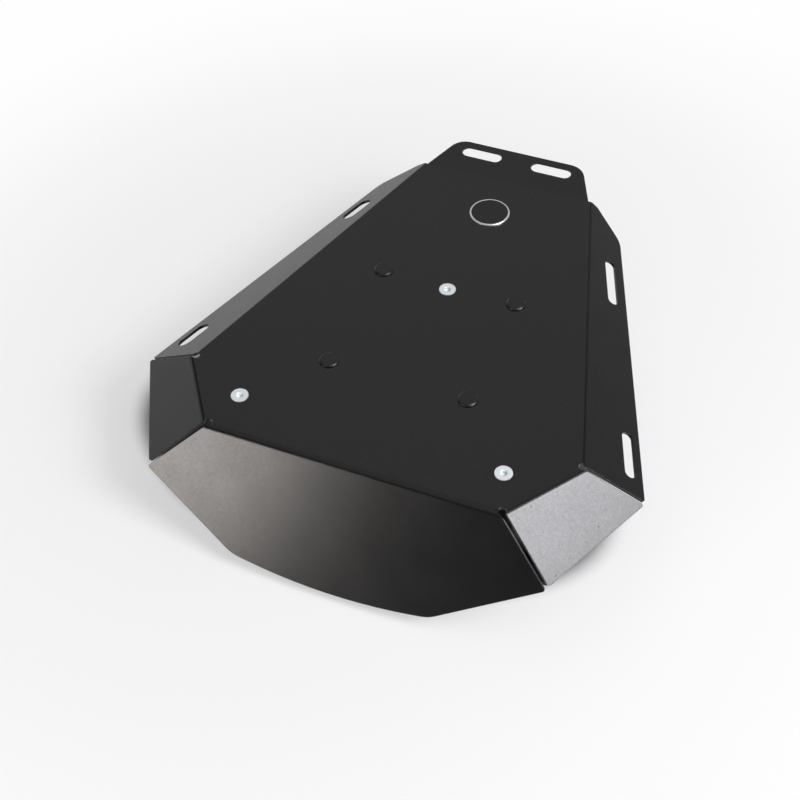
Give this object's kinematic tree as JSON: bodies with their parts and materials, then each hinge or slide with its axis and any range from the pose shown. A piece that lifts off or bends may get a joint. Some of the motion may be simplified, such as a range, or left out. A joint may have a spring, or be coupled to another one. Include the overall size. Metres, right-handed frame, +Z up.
{
  "type": "motorcycle pillion seat luggage rack",
  "caption": "Folded sheet luggage rack that takes the place of a motorcycle's pillion seat, with flared flanges, lashing slots, plugged case holes and rubber-mounted feet.",
  "frame": {"origin": "middle of the footprint, on the surface that the four rubber feet stand on", "axes": "+X to the right and +Y to the rear as seen by someone who stands in front of the rack and looks to the rear, +Z up"},
  "size_m": [0.3586, 0.3832, 0.0859],
  "materials": {
    "powder_coat": "satin black powder coat with a fine texture",
    "zinc": "bright zinc plated",
    "plug_plastic": "moulded, slightly glossy",
    "rubber": "matte",
    "badge_metal": "bright",
    "badge_field": "black enamel"
  },
  "bodies": {
    "root": {"rack_plate": "powder_coat", "front_bracket": "powder_coat", "rear_bracket": "powder_coat", "rear_screw": "zinc", "rear_weld_nut": "zinc", "front_left_screw": "zinc", "front_left_weld_nut": "zinc", "front_right_screw": "zinc", "front_right_weld_nut": "zinc", "rear_left_plug": "plug_plastic", "rear_left_bush": "rubber", "rear_left_sleeve": "zinc", "rear_right_plug": "plug_plastic", "rear_right_bush": "rubber", "rear_right_sleeve": "zinc", "front_left_plug": "plug_plastic", "front_left_bush": "rubber", "front_left_sleeve": "zinc", "front_right_plug": "plug_plastic", "front_right_bush": "rubber", "front_right_sleeve": "zinc", "emblem_body": "badge_metal", "emblem_field": "badge_field"}
  },
  "joints": []
}
